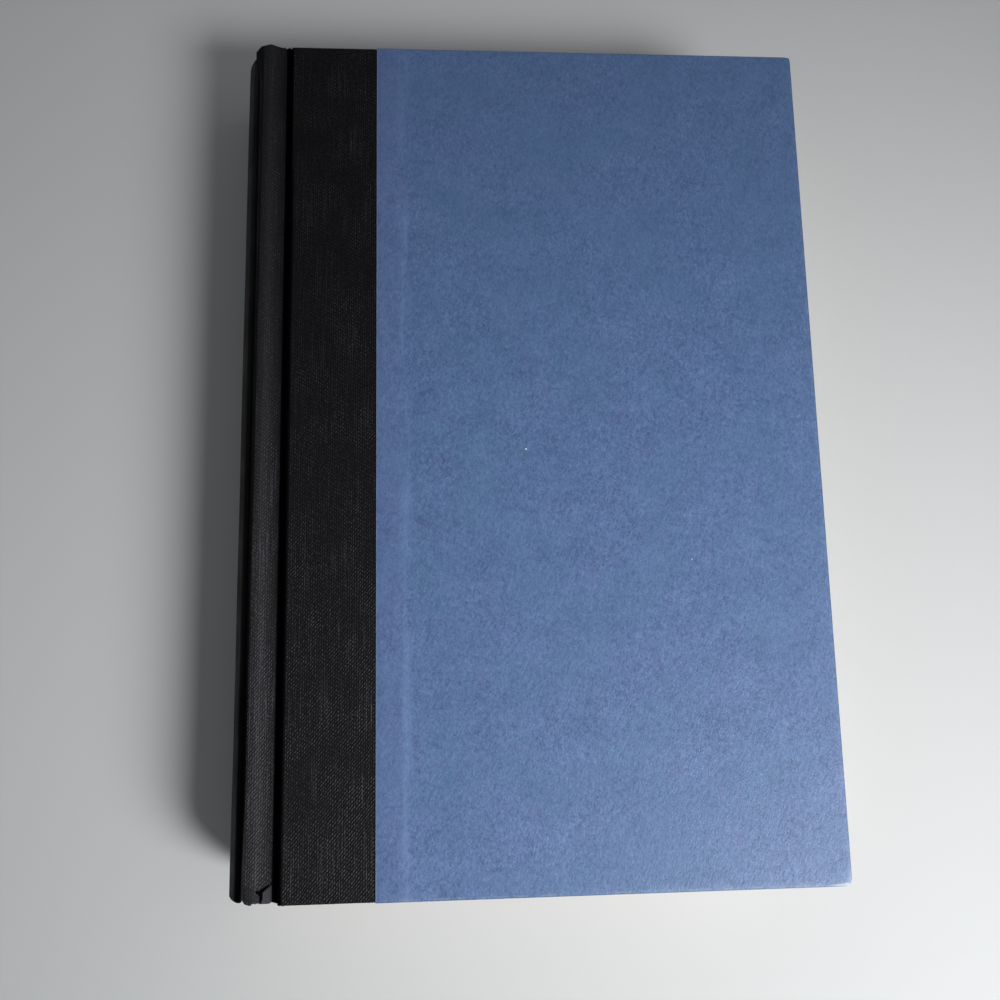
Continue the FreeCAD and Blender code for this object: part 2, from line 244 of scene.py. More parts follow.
class Finish:
    """A material whose nodes are made through one method."""

    def __init__(self, name):
        self.material = bpy.data.materials.new(name)
        self.material.use_nodes = True
        self.tree = self.material.node_tree
        self.shader = self.tree.nodes["Principled BSDF"]

    def put(self, socket, value):
        if isinstance(value, Signal):
            self.tree.links.new(value.socket, socket)
        elif socket.type == "RGBA":
            socket.default_value = (*value, 1.0)
        else:
            socket.default_value = value

    def node(self, kind, settings=None, inputs=(), output=0):
        """A node of that type: its settings first, then the values or links of its sockets."""
        made = self.tree.nodes.new(kind)
        for name, value in (settings or {}).items():
            setattr(made, name, value)
        pairs = inputs.items() if isinstance(inputs, dict) else enumerate(inputs)
        for key, value in pairs:
            self.put(made.inputs[key], value)
        return Signal(self, made.outputs[output])

    def mix(self, first, second, share):
        """A colour between two, at a share from 0 to 1."""
        made = self.tree.nodes.new("ShaderNodeMix")
        made.data_type = "RGBA"
        self.put(made.inputs["Factor"], share)
        self.put(made.inputs[6], first)
        self.put(made.inputs[7], second)
        return Signal(self, made.outputs[2])

    def place(self, turn=(0, 0, 0), stretch=(1, 1, 1), source=None):
        """Coordinates in millimetres, turned and then stretched."""
        if source is None:
            source = self.node("ShaderNodeTexCoord", output=3)
        scale = tuple(value / MM for value in stretch)
        turned = self.node("ShaderNodeVectorRotate", {"rotation_type": "EULER_XYZ"},
                           {"Vector": source, "Rotation": turn})
        return self.node("ShaderNodeVectorMath", {"operation": "MULTIPLY"}, (turned, scale))

    def parts(self, vector):
        """A vector's three numbers."""
        return [self.node("ShaderNodeSeparateXYZ", inputs=(vector,), output=i) for i in range(3)]

    def joined(self, *values):
        """A vector of three numbers."""
        return self.node("ShaderNodeCombineXYZ", inputs=values)

    def mark(self, name):
        """A number stored on the mesh."""
        return self.node("ShaderNodeAttribute", {"attribute_name": name}, output=2)

    def noise(self, vector, scale, detail=3.0, roughness=0.5):
        """Soft noise around one half; the scale is in waves per millimetre."""
        return self.node("ShaderNodeTexNoise", None, {"Vector": vector, "Scale": scale,
                                                      "Detail": detail, "Roughness": roughness})

    def fibres(self, angle, stretch, shift, roughness=0.5):
        """Noise drawn out into short fibres that lie at an angle on the sheet."""
        spot = self.node("ShaderNodeVectorMath", {"operation": "MULTIPLY_ADD"},
                         (self.place((0, 0, -angle)), (*stretch, 1.0), shift))
        return self.noise(spot, 1.0, 2.0, roughness)

    def bump(self, height, distance, strength=1.0):
        """A normal for a height that varies over the surface."""
        return self.node("ShaderNodeBump", None,
                         {"Strength": strength, "Distance": distance, "Height": height})

    def painted_shade_coat(self, colour, share):
        """Paints shade: lays a dull matt coat of one colour over the surface, at a share from 0 to 1, which
        also hides its shine.
        """
        dull = self.node("ShaderNodeBsdfDiffuse", None, {"Color": colour})
        whole = self.node("ShaderNodeMixShader", None,
                          {0: share, 1: Signal(self, self.shader.outputs[0]), 2: dull})
        self.put(self.tree.nodes["Material Output"].inputs["Surface"], whole)

    def surface(self, **values):
        """Sets the shader's sockets: Base_Color=..., Roughness=... and so on."""
        for name, value in values.items():
            self.put(self.shader.inputs[name.replace("_", " ")], value)
        return self.material


def cloth_finish():
    """Black book cloth: slanting ribs broken into dashes, rubbed where they stand up, with a painted sheen
    on the ridge growing toward the tail, a painted highlight on the lifted flap, and painted shade in the
    groove, on the ridge's far flank and inside the crack.
    """
    f = Finish("book_cloth")
    flat = f.node("ShaderNodeUVMap", {"uv_map": "Flat"})
    spot = f.place(source=flat)
    across, along, _ = f.parts(spot)
    wear, bald, deep, pale = (f.mark(name) for name in MARKS)
    waver = f.noise(spot, 0.35, 2.0) - 0.5
    slant = sizes().rib_slant
    pitch = sizes().rib_pitch / MM
    rib = (across * math.sin(slant) - along * math.cos(slant)) / pitch + waver * 0.9
    ribs = rib.wave() * 0.5 + 0.5
    breaks = (across / sizes().thread_pitch * MM + waver * 0.5).wave() * 0.5 + 0.5
    stretched = f.node("ShaderNodeVectorMath", {"operation": "MULTIPLY"},
                       (f.place((0, 0, -slant), source=flat), (1.0, 2.2, 1.0)))
    dashes = f.noise(stretched, 1.0, 1.5).ramp(0.42, 0.60)
    upright = f.noise(f.joined(across * 3.0, along * 0.05, 0.0), 1.0, 1.5)
    lines = upright.ramp(0.60, 0.68)
    gaps = 1 - upright.ramp(0.36, 0.47)
    knots = f.noise(f.joined(across * 1.6, along * 2.6, 3.0), 1.0, 1.0)
    ribbed = ribs ** 2.3 * (0.20 + 1.10 * dashes) * (0.10 + 1.15 * breaks ** 1.5) * (1 - 0.55 * gaps)
    raised = ribbed.math("MAXIMUM", lines * knots.ramp(0.35, 0.62) * 0.7)
    patches = f.noise(spot, 0.09, 4.0).ramp(0.35, 0.7)
    fine = f.noise(spot, 6.0, 2.0)
    relief = raised * (1 - bald * 0.85) * (1 - deep * 0.7)
    # Painted light: the weave's lighter tone grows strongly toward the tail; it also fades toward the
    # middle of the spine
    far_side = (0 - across).ramp(0.0, 34.0)
    tailward = (0 - along).ramp(-110.0, 115.0)
    woven = (0.62 + 1.30 * tailward * tailward) * (1.15 - 0.35 * far_side)
    woven = woven * (1 - 0.9 * wear * (1 - tailward))
    # Real dust and rubbing on the rib tops, plus a broad painted sheen on the ridge's crown from the wear
    # mark and a painted highlight on the lifted flap from the pale mark
    dust_and_sheen = relief * (0.16 + 0.40 * patches + 1.05 * wear) * woven
    dust_and_sheen = dust_and_sheen + wear * (0.20 - 0.10 * tailward) + bald * 0.03 + pale * 0.26 * (0.6 + fine)
    colour = f.mix(colours().cloth, colours().cloth_worn_and_sheen, dust_and_sheen)
    normal = f.bump(relief * woven + fine * 0.12, 0.16 * MM, 0.9)
    # Painted shade: a matt near-black coat, by the deep mark, over the groove, the ridge's far flank and
    # the inner cloth seen through the crack
    f.painted_shade_coat(colours().groove, deep * 0.96)
    return f.surface(Base_Color=colour, Roughness=0.60 + 0.2 * patches, Normal=normal,
                     Specular_IOR_Level=0.13, Sheen_Weight=0.03, Sheen_Roughness=0.45)


def paper_finish():
    """Blue side paper: felt-like, with short fibres, rubbed pale at its tail fore corner."""
    f = Finish("blue_paper")
    look = colours()
    spot = f.place()
    x, y, z = f.parts(spot)
    cloud = f.noise(spot, 0.11, 4.0, 0.6) - 0.5
    mottle = f.noise(spot, 0.55, 4.0, 0.65) - 0.5
    grain = f.noise(spot, 2.4, 3.0, 0.6) - 0.5
    ragged = f.noise(spot, 0.7, 4.0) - 0.5
    layers = [f.fibres(angle, (0.7, 2.3), (7.0 * i, 3.0 * i, 5.0 * i), 0.6) - 0.5
              for i, angle in enumerate((0.95, 1.35, 1.9, 2.75))]
    flecks = sum(layers[1:], layers[0])
    share = 0.48 + flecks * 0.72 + mottle * 0.62 + grain * 0.42 + cloud * 0.60
    tone = f.mix(look.paper_dark, look.paper_light, share)
    wisps = f.fibres(0.75, (0.75, 2.9), (3.0, 9.0, 1.0)).ramp(0.57, 0.72)
    wisps = wisps * f.noise(spot, 0.2, 2.0).ramp(0.35, 0.6)
    tone = f.mix(tone, look.paper_light, wisps * 0.65)
    cool = f.noise(spot, 0.05, 3.0).ramp(0.35, 0.65)
    tone = f.mix(tone, look.paper_cool, cool * 0.30)
    warm = f.noise(f.place((0, 0, 1.0)), 0.4, 3.0).ramp(0.52, 0.75)
    tone = f.mix(tone, look.paper_warm, warm * 0.30)
    # Painted shade: the paper darkens toward the head
    tone = f.mix(tone, look.paper_dark, y.ramp(-30.0, 125.0) * 0.28)
    tone = rubbed_and_shaded_edges(f, tone, x, y, ragged)
    from_cloth_end = x - (PAPER_EDGE + sizes().cloth_under_paper) / MM
    from_cloth_end = from_cloth_end + (f.noise(spot, 0.2, 2.0) - 0.5) * 0.8
    tone = f.mix(tone, look.paper_warm, (1 - from_cloth_end.ramp(-1.5, 0.0)) * 0.16)
    ridge = 1 - from_cloth_end.math("ABSOLUTE").ramp(0.4, 2.4)
    streaks = f.noise(f.joined(x * 0.5, y * 0.05, z), 1.0, 3.0)
    tone = f.mix(tone, look.paper_light, ridge * streaks.ramp(0.35, 0.65) * 0.42)
    for place, strength in LINT:
        away = f.node("ShaderNodeVectorMath", {"operation": "DISTANCE"}, (spot, place), output=1)
        speck = 1 - (away + ragged * 0.3).ramp(0.16, 0.34)
        tone = f.mix(tone, LINT_COLOUR, speck * strength)
    relief = grain * 0.7 + flecks * 0.8 + mottle * 0.5 + (1 - from_cloth_end.ramp(-0.9, 0.9)) * 1.2
    rough = 0.46 + 0.25 * grain + 0.10 * mottle
    return f.surface(Base_Color=tone, Roughness=rough, Normal=f.bump(relief, 0.06 * MM, 0.9),
                     Specular_IOR_Level=0.5)


def rubbed_and_shaded_edges(f, tone, x, y, ragged):
    """The paper's tone with a painted dark line of shade on its outer edge, a scuffed rim and a pale tail
    fore corner.
    """
    look = colours()
    from_fore = FORE / MM - x
    from_tail = HALF / MM + y
    to_edge = from_fore.math("MINIMUM", HALF / MM - y.math("ABSOLUTE"))
    scuffs = f.noise(f.place(), 0.25, 3.0).ramp(0.40, 0.62)
    # Painted shade: a dark line on the rounded outer edge
    tone = f.mix(tone, look.paper_dark, (1 - to_edge.ramp(0.05, 0.35)) * 0.55)
    rim = to_edge.ramp(0.2, 0.4) * (1 - (to_edge + ragged * 0.3).ramp(0.5, 0.9))
    tail = 1 - from_tail.ramp(1.0, 2.0)
    tone = f.mix(tone, look.paper_core, rim * scuffs * (0.05 + 0.10 * tail))
    line = 1 - (from_tail + ragged * 0.8 + from_fore * 0.10).ramp(0.7, 1.2)
    line = line * from_tail.ramp(0.05, 0.3) * 0.60 * (1 - from_fore.ramp(4.0, 8.0))
    smear = (1 - (from_fore + ragged).ramp(0.5, 1.5)) * (1 - from_tail.ramp(1.5, 6.0))
    tone = f.mix(tone, look.paper_core, line.math("MAXIMUM", smear * 0.16))
    cut_edge = 1 - (x - PAPER_EDGE / MM).ramp(0.15, 0.45)
    return f.mix(tone, look.paper_core, cut_edge * 0.14)


def shaded(colour, shares):
    """A colour with each of its three values reduced to a share."""
    return tuple(value * share for value, share in zip(colour, shares))


def pages_finish():
    """Cut page edges: fine lines that follow the leaves, with a few yellowed patches."""
    f = Finish("page_edges")
    spot = f.place()
    x, y, _ = f.parts(spot)
    leaf = f.mark("leaf") / MM
    lines = f.noise(f.joined(x * 0.03, y * 0.03, leaf * 5.5), 1.0, 3.0)
    broad = f.noise(f.joined(x * 0.05, y * 0.05, leaf * 0.9), 1.0, 3.0)
    stain = f.noise(spot, 0.06, 4.0).ramp(0.45, 0.75)
    deep = shaded(colours().pages, (0.72, 0.66, 0.55))
    tone = f.mix(colours().pages, deep, lines.ramp(0.35, 0.7) * 0.5 + broad.ramp(0.4, 0.7) * 0.2)
    tone = f.mix(tone, deep, stain * 0.25)
    normal = f.bump(lines + broad * 0.6, 0.12 * MM, 0.9)
    return f.surface(Base_Color=tone, Roughness=0.85, Normal=normal, Specular_IOR_Level=0.25)


def plain_paper_finish(name, colour, scale=1.0, roughness=0.8):
    """Uncoated paper or card: a soft tone with faint flecks and a light tooth."""
    f = Finish(name)
    spot = f.place()
    cloud = f.noise(spot, 0.05 * scale, 4.0).ramp(0.35, 0.7)
    fleck = f.noise(spot, 1.6 * scale, 3.0).ramp(0.55, 0.8)
    deep = shaded(colour, (0.90, 0.86, 0.78))
    tone = f.mix(colour, deep, cloud * 0.5 + fleck * 0.35)
    normal = f.bump(f.noise(spot, 3.0 * scale, 3.0), 0.03 * MM, 0.6)
    return f.surface(Base_Color=tone, Roughness=roughness, Normal=normal, Specular_IOR_Level=0.3)


def gauze_finish():
    """Open-weave gauze: two sets of threads with glue between them."""
    f = Finish("gauze")
    x, y, _ = f.parts(f.place())
    warp, weft = (axis.wave(0.9).ramp(0.1, 0.8) for axis in (x, y))
    threads = warp.math("MAXIMUM", weft)
    tone = f.mix(colours().glue, colours().gauze, threads)
    return f.surface(Base_Color=tone, Roughness=0.85, Normal=f.bump(threads, 0.15 * MM))


def band_finish():
    """End band: two colours of thread wound side by side over the bead."""
    f = Finish("band_thread")
    _, y, z = f.parts(f.place())
    lean = y * 0.8
    stripe = (z * (2 * math.pi / 1.6) + lean).math("SINE").ramp(-0.25, 0.25)
    thread = (z * (2 * math.pi / 0.4) + lean).math("SINE") * 0.5 + 0.5
    tone = f.mix(colours().band_dark, colours().band_light, stripe)
    # Painted shade: darker between the wound threads
    tone = f.mix(tone, shaded(colours().band_dark, (0.67, 0.54, 0.37)), (1 - thread) * 0.25)
    return f.surface(Base_Color=tone, Roughness=0.5, Normal=f.bump(thread, 0.12 * MM),
                     Sheen_Weight=0.2)


def floor_finish():
    """Pale plain floor with faint clouds."""
    f = Finish("floor")
    cloud = f.noise(f.place(), 0.004, 3.0)
    tone = f.mix(colours().floor, shaded(colours().floor, (0.93, 0.93, 0.93)), cloud)
    return f.surface(Base_Color=tone, Roughness=0.85, Specular_IOR_Level=0.2)


# Modelling helpers

def deselect():
    """Leaves edit mode and deselects everything."""
    if bpy.context.object and bpy.context.object.mode != "OBJECT":
        bpy.ops.object.mode_set(mode="OBJECT")
    bpy.ops.object.select_all(action="DESELECT")


def choose(piece):
    """Makes a piece the active one and the only one that is selected."""
    deselect()
    bpy.context.view_layer.objects.active = piece
    piece.select_set(True)


def started(name, scale=(1, 1, 1)):
    """Names the primitive that was just added, gives it its size and applies its place."""
    piece = bpy.context.object
    piece.name = name
    piece.data.name = name
    piece.scale = scale
    bpy.ops.object.transform_apply(location=True, rotation=True, scale=True)
    return piece


def grid(name, low_x, high_x, half_y, z, columns, rows):
    """A level sheet of small squares."""
    deselect()
    bpy.ops.mesh.primitive_grid_add(x_subdivisions=columns, y_subdivisions=rows, size=1,
                                    location=((low_x + high_x) / 2, 0, z))
    return started(name, (high_x - low_x, 2 * half_y, 1))


def finish_with(piece, kind, **settings):
    """Adds a modifier and applies it."""
    choose(piece)
    modifier = piece.modifiers.new(kind.title(), kind)
    for name, value in settings.items():
        setattr(modifier, name, value)
    bpy.ops.object.modifier_apply(modifier=modifier.name)


def bevelled(piece, width, segments):
    """Rounds a piece's sharp edges."""
    finish_with(piece, "BEVEL", width=width, segments=segments, limit_method="ANGLE",
                angle_limit=SHARP)


def smooth(piece, degrees=35.0):
    """Smooth shading, with sharp edges kept past an angle."""
    choose(piece)
    bpy.ops.object.shade_smooth_by_angle(angle=math.radians(degrees))


def pick(piece, mode, test):
    """Selects vertices, edges or faces by a test of their places, and leaves edit mode on."""
    choose(piece)
    bpy.ops.object.mode_set(mode="EDIT")
    bpy.ops.mesh.select_mode(type=mode)
    bpy.ops.mesh.select_all(action="DESELECT")
    bpy.ops.object.mode_set(mode="OBJECT")
    mesh = piece.data
    if mode == "VERT":
        for vertex in mesh.vertices:
            vertex.select = test(vertex.co)
    if mode == "EDGE":
        for edge in mesh.edges:
            edge.select = all(test(mesh.vertices[i].co) for i in edge.vertices)
    if mode == "FACE":
        for face in mesh.polygons:
            face.select = test(face.center)
    bpy.ops.object.mode_set(mode="EDIT")


def whole(piece):
    """Opens a piece in edit mode with all of it selected."""
    choose(piece)
    bpy.ops.object.mode_set(mode="EDIT")
    bpy.ops.mesh.select_all(action="SELECT")


def recalculated(piece):
    """Turns all the faces outwards."""
    whole(piece)
    bpy.ops.mesh.normals_make_consistent(inside=False)
    bpy.ops.object.mode_set(mode="OBJECT")


def cut_through(place, direction):
    """Cuts the piece that is open in edit mode by a plane."""
    bpy.ops.mesh.select_all(action="SELECT")
    bpy.ops.mesh.bisect(plane_co=place, plane_no=direction)


def to_back(piece):
    """Mirrors a front piece to the back of the book."""
    whole(piece)
    bpy.ops.transform.resize(value=(1, 1, -1), center_override=(0, 0, MIDDLE))
    bpy.ops.mesh.flip_normals()
    bpy.ops.object.mode_set(mode="OBJECT")


def two_sides(make, ending):
    """Makes a piece for the front, and then for the back its mirrored twin, which is less worn."""
    for side in SIDES:
        piece = make(side + ending, side == "front")
        if side == "back":
            to_back(piece)
        yield side, piece


def ease(value, low, high):
    """0 below low, 1 above high, smooth between."""
    share = min(max((value - low) / (high - low), 0.0), 1.0)
    return share * share * (3 - 2 * share)


def window(value, rise, fall):
    """1 between a rise and a fall, 0 outside them, smooth over both."""
    return ease(value, *rise) * (1 - ease(value, *fall))


def bell(value, centre, width):
    """1 at the centre, falling off smoothly on both sides."""
    return math.exp(-((value - centre) / width) ** 2)


def give(piece, finish):
    """Gives a piece its finish."""
    piece.data.materials.clear()
    piece.data.materials.append(finish)


# Cloth

def bend_points(before, corner, after, radius, steps):
    """Points on the arc that rounds a corner, in the section's plane."""
    into = (corner - before).normalized()
    out = (after - corner).normalized()
    turn = into.angle(out)
    start = corner - into * radius * math.tan(turn / 2)
    side = 1 if into.x * out.y - into.y * out.x > 0 else -1
    centre = start + Vector((-into.y, into.x)) * side * radius
    spoke = start - centre
    points = []
    for i in range(steps + 1):
        angle = side * turn * i / steps
        points.append(centre + Vector((spoke.x * math.cos(angle) - spoke.y * math.sin(angle),
                                       spoke.x * math.sin(angle) + spoke.y * math.cos(angle))))
    return points


def groove_corners(crest):
    """Corners of the cloth's section from the groove to the round part, for a crest at that depth:
    reach from the boards' edge, depth below the cover's face, radius of the bend, in millimetres."""
    return (
        (0.0, 0.3, 0.8),
        (0.0, 2.55, 0.6),
        (1.6, 2.55, 0.4),
        (2.1, 0.90, 0.8),
        (4.2, 0.05, 2.0),
        (6.2, crest, 2.5),
        (8.5, 0.30, 1.0),
        (9.6, 3.0, 0.3),
    )


def cloth_section(crest):
    """The cloth's outer line from under the paper side to the middle of the spine."""
    def at(reach, depth):
        return Vector((EDGE - reach * MM, TOP - depth * MM))
    bends = groove_corners(crest)
    under = Vector((PAPER_EDGE + sizes().cloth_under_paper, TOP - COVERING))
    first = Vector((PAPER_EDGE, TOP - COVERING))
    round_start = at(*ROUND_START)
    corners = [first] + [at(reach, depth) for reach, depth, _ in bends] + [round_start]
    line = [under, first]
    for i, (_, _, radius) in enumerate(bends, start=1):
        line += bend_points(*corners[i - 1:i + 2], radius * MM, 5)
    line.append(round_start)
    radius, centre_x = spine_circle()
    centre = Vector((centre_x, MIDDLE))
    sweep = math.asin((round_start.y - MIDDLE) / radius)
    for i in range(1, 25):
        angle = sweep * (1 - i / 24)
        line.append(centre + Vector((-math.cos(angle), math.sin(angle))) * radius)
    return evened(line)


def spine_circle():
    """Radius and centre of the spine's round part."""
    chord = TOP - ROUND_START[1] * MM - MIDDLE
    bulge = EDGE - ROUND_START[0] * MM - SPINE
    radius = (chord ** 2 + bulge ** 2) / (2 * bulge)
    return radius, SPINE + radius


def evened(line):
    """The same line with its long runs divided, finely over the groove and the ridge."""
    points = [line[0]]
    for a, b in zip(line, line[1:]):
        length = (b - a).length
        if length < 1e-7:
            continue
        middle = (a.x + b.x) / 2
        longest = FINE_STEP if EDGE - 10 * MM < middle < EDGE + 1.8 * MM else 0.75 * MM
        steps = max(1, math.ceil(length / longest))
        points += [a.lerp(b, i / steps) for i in range(1, steps + 1)]
    return points


def section_normals(line):
    """Directions into the book, square to the line."""
    normals = []
    for before, after in zip(line[:1] + line, line[1:] + line[-1:]):
        along = (after - before).normalized()
        normals.append(Vector((-along.y, along.x)))
    return normals


def sheet_rows(turn_in):
    """Rows of a sheet from its tail turn-in to its head turn-in: (y, depth, share of the drop)."""
    radius = 0.28 * MM
    bend = HALF - radius
    fine_start = HALF - 10 * MM
    flat = [i / 90 * fine_start for i in range(90)]
    flat += [fine_start + i * FINE_STEP for i in range(37)]
    upper = [(y, 0.0, 0.0) for y in flat]
    angles = [math.pi / 2 * i / 4 for i in range(5)]
    upper += [(bend + radius * math.sin(angle), radius * (1 - math.cos(angle)), 0.0) for angle in angles]
    upper += [(bend + radius * math.cos(angle), radius * (math.sin(angle) - 1), 1.0) for angle in angles]
    upper += [(bend - turn_in * i / 5, 0.0, 1.0) for i in range(1, 6)]
    lower = [(-y, depth, share) for y, depth, share in reversed(upper[1:])]
    return lower + upper


def read_off(table, value):
    """A height read off a row of points, straight between them."""
    if value <= table[0][0]:
        return table[0][1]
    for a, b in zip(table, table[1:]):
        if value <= b[0]:
            return a[1] + (b[1] - a[1]) * (value - a[0]) / (b[0] - a[0])
    return table[-1][1]


def tail_rise(reach, worn):
    """Rise at the tail, where a worn spine has two lobes and a notch between them."""
    if not worn:
        return read_off(TAIL_CAP, reach)
    ragged = noise.noise(Vector((reach * 2.3, 3.1, 0.0))) * ease(reach, 3.0, 5.0)
    return read_off(WORN_TAIL_CAP, reach) + 0.30 * ragged * (1 - ease(reach, 10.4, 11.0))


def lengths_along(mesh, place_of, last_row):
    """Each vertex's distance from the middle of the book, measured along its own thread."""
    threads = {}
    for index, (column, row) in place_of.items():
        threads.setdefault(column, [None] * (last_row + 1))[row] = index
    lengths = {}
    middle = last_row // 2
    for thread in threads.values():
        lengths[thread[middle]] = mesh.vertices[thread[middle]].co.y
        for run, sign in ((range(middle, last_row), 1), (range(middle, 0, -1), -1)):
            for row in run:
                a, b = thread[row], thread[row + sign]
                step = (mesh.vertices[b].co - mesh.vertices[a].co).length
                lengths[b] = lengths[a] + sign * step
    return lengths


def reach_of(point):
    """Millimetres from the boards' edge, measured on down the spine past the round part's start."""
    past = (TOP - point.y) / MM - ROUND_START[1]
    return ROUND_START[0] + past if past > 0 else (EDGE - point.x) / MM


class ClothSpot:
    """One point of the cloth's mesh: where it lies over the book and how worn it is."""

    def __init__(self, point, row, flat_u, worn):
        self.point, self.flat_u, self.worn = point, flat_u, worn
        self.reach = reach_of(point)
        y, self.depth, self.share = row
        if point.x > PAPER_EDGE + 0.1 * MM:
            y *= 1 - COVERING / HALF
        self.near_head = ease(y, HALF - 5 * MM, HALF)
        near_tail = ease(-y, HALF - 5 * MM, HALF)
        rise = self.near_head * read_off(HEAD_CAP, self.reach) - near_tail * tail_rise(self.reach, worn)
        self.y = y + rise * MM
        self.up = (self.y + HALF) / MM
        flap_top = 5.4 - 0.7 * max(self.reach - 1.6, 0.0)
        flap = window(self.reach, (1.6, 1.9), (3.6, 4.1)) * (1 - ease(self.up, flap_top - 0.5, flap_top))
        self.flap = flap if worn else 0.0

    def place(self, into):
        """Where the spot lies, given the direction into the book."""
        reach, y, share = self.reach, self.y, self.share
        on_board = 1 - ease(reach, -0.6, 0.5)
        on_strip = ease(reach, 9.8, 10.6)
        drop = 0.6 + (COVER_THICKNESS - COVERING) / MM * on_board - 0.6 * on_board + 0.5 * on_strip
        crease_fill = 1.2 * bell(reach, 9.4, 0.9) * ease(y, HALF - 12 * MM, HALF - 1 * MM)
        ripple = noise.noise(Vector((self.flat_u * 60, y * 45, 1.0 if self.worn else 5.0)))
        ripple *= 0.07 * ease(reach, 2.0, 4.0)
        lifted = 0.25 * self.flap * (1 - share)
        depth = self.depth + (share * drop - crease_fill - ripple - lifted) * MM
        place = Vector((self.point.x + into.x * depth, y, self.point.y + into.y * depth))
        filled = 1.3 * MM * bell(reach, 0.8, 0.9) * self.near_head * (1 - share)
        place.z = max(place.z, min(place.z + filled, TOP - 0.6 * MM))
        return place

    def marks(self):
        """The spot's values for MARKS."""
        reach, share = self.reach, self.share
        toward_tail = ease(-self.y, -HALF, HALF)
        # Real rubbing on the ridge's crown; its rise toward the tail is partly a painted sheen
        crown = bell(reach, 6.3, 2.5) * (0.46 + 1.25 * toward_tail)
        wear = min(1.5, crown + 0.16 * toward_tail ** 2 * (1 if self.worn else 0.5))
        pressed = 0.55 + 0.75 * ease(-self.y, -HALF, -0.1 * HALF)
        # Painted shade, the deep mark: the groove with the board's rounded edge beside it, the ridge's far
        # flank and the inner cloth seen through the crack
        groove = window(reach, (-pressed - 0.15, 0.1 - pressed), (1.5, 1.8))
        inner = 7.8 + 0.5 * toward_tail + 1.2 * (1 - ease(self.up, 0.0, 30.0))
        flank = window(reach, (inner, inner + 0.5), (12.0, 13.5)) * (0.52 + 0.43 * toward_tail)
        inside = share * window(reach, (1.0, 2.0), (8.0, 9.0))
        patch = window(reach, (4.0, 4.6), (9.6, 10.2)) * (1 - ease(self.up, 4.6, 6.6))
        bald = min(1.0, max(self.flap, 0.95 * patch)) if self.worn else 0.0
        # The last value, pale, is a painted highlight on the lifted flap
        return wear, bald, max(groove, flank, inside), self.flap * (1 - share)


def draped_cloth(name, worn):
    """A flat sheet of cloth wrapped over the board, the groove, the ridge and half of the spine."""
    line = cloth_section(WORN_CREST if worn else SOUND_CREST)
    inward = section_normals(line)
    rows = sheet_rows(sizes().turn_in)
    flat_u = [0.0]
    for a, b in zip(line, line[1:]):
        flat_u.append(flat_u[-1] + (b - a).length)
    last_column, last_row = len(line) - 1, len(rows) - 1
    deselect()
    bpy.ops.mesh.primitive_grid_add(x_subdivisions=last_column, y_subdivisions=last_row, size=1)
    piece = started(name)
    mesh = piece.data
    for mark in MARKS:
        mesh.attributes.new(mark, "FLOAT", "POINT")
    marks = [mesh.attributes[mark] for mark in MARKS]
    place_of = {}
    for vertex in mesh.vertices:
        column = last_column - round((vertex.co.x + 0.5) * last_column)
        row = round((vertex.co.y + 0.5) * last_row)
        place_of[vertex.index] = (column, row)
        spot = ClothSpot(line[column], rows[row], flat_u[column], worn)
        vertex.co = spot.place(inward[column])
        for mark, value in zip(marks, spot.marks()):
            mark.data[vertex.index].value = value
    flat_v = lengths_along(mesh, place_of, last_row)
    layer = mesh.uv_layers.active
    layer.name = "Flat"
    for loop in mesh.loops:
        column = place_of[loop.vertex_index][0]
        layer.data[loop.index].uv = (-flat_u[column], flat_v[loop.vertex_index])
    if worn:
        tear_open(piece, [rows[place_of[i][1]][2] for i in range(len(mesh.vertices))])
    pick(piece, "FACE", lambda centre: centre.x > PAPER_EDGE and (
        centre.z < TOP - COVERING * 1.5 or abs(centre.y) > HALF - COVERING * 1.5))
    bpy.ops.mesh.delete(type="FACE")
    bpy.ops.object.mode_set(mode="OBJECT")
    finish_with(piece, "SOLIDIFY", thickness=sizes().cloth_thickness, offset=-1.0)
    smooth(piece, 50)
    return piece


def in_tear(reach, up):
    """Whether a spot in the ridge's cloth lies in the crack or its hole."""
    spot = Vector((reach, up))
    if (spot - Vector(HOLE[:2])).length < HOLE[2]:
        return True
    for a, b in zip(CRACK, CRACK[1:]):
        start, end = Vector(a[:2]), Vector(b[:2])
        run = end - start
        share = min(max((spot - start).dot(run) / run.length_squared, 0.0), 1.0)
        if (spot - start - run * share).length < a[2] + (b[2] - a[2]) * share:
            return True
    return False


def tear_open(piece, shares):
    """Deletes the outer layer's faces in the crack at the spine's tail."""
    pick(piece, "FACE", lambda centre: False)
    bpy.ops.object.mode_set(mode="OBJECT")
    for face in piece.data.polygons:
        outer = max(shares[i] for i in face.vertices) == 0
        reach, up = (EDGE - face.center.x) / MM, (face.center.y + HALF) / MM
        face.select = outer and reach < 8.0 and in_tear(reach, up)
    bpy.ops.object.mode_set(mode="EDIT")
    bpy.ops.mesh.delete(type="FACE")
    bpy.ops.object.mode_set(mode="OBJECT")


def spine_card():
    """The bendable card inside the spine, its ends cut to the line of the cloth's ends."""
    radius, centre_x = spine_circle()
    radius -= sizes().cloth_thickness + 0.03 * MM
    sweep = math.asin((CARD_TOP - MIDDLE) / radius)
    half_chord = TOP - ROUND_START[1] * MM - MIDDLE
    deselect()
    bpy.ops.mesh.primitive_grid_add(x_subdivisions=60, y_subdivisions=90, size=2)
    piece = started("spine_card")
    for vertex in piece.data.vertices:
        angle, end = vertex.co.x * sweep, vertex.co.y
        rise = math.sin(angle) * radius
        reach = ROUND_START[0] + (half_chord - abs(rise)) / MM
        cap = read_off(HEAD_CAP, reach) if end > 0 else tail_rise(reach, rise > 0)
        length = HALF - 0.5 * MM + min(cap, 0.0) * MM
        vertex.co = Vector((centre_x - math.cos(angle) * radius, end * length, MIDDLE + rise))
    finish_with(piece, "SOLIDIFY", thickness=0.46 * MM, offset=-1.0)
    bevelled(piece, 0.12 * MM, 2)
    smooth(piece)
    return piece


# Paper sides

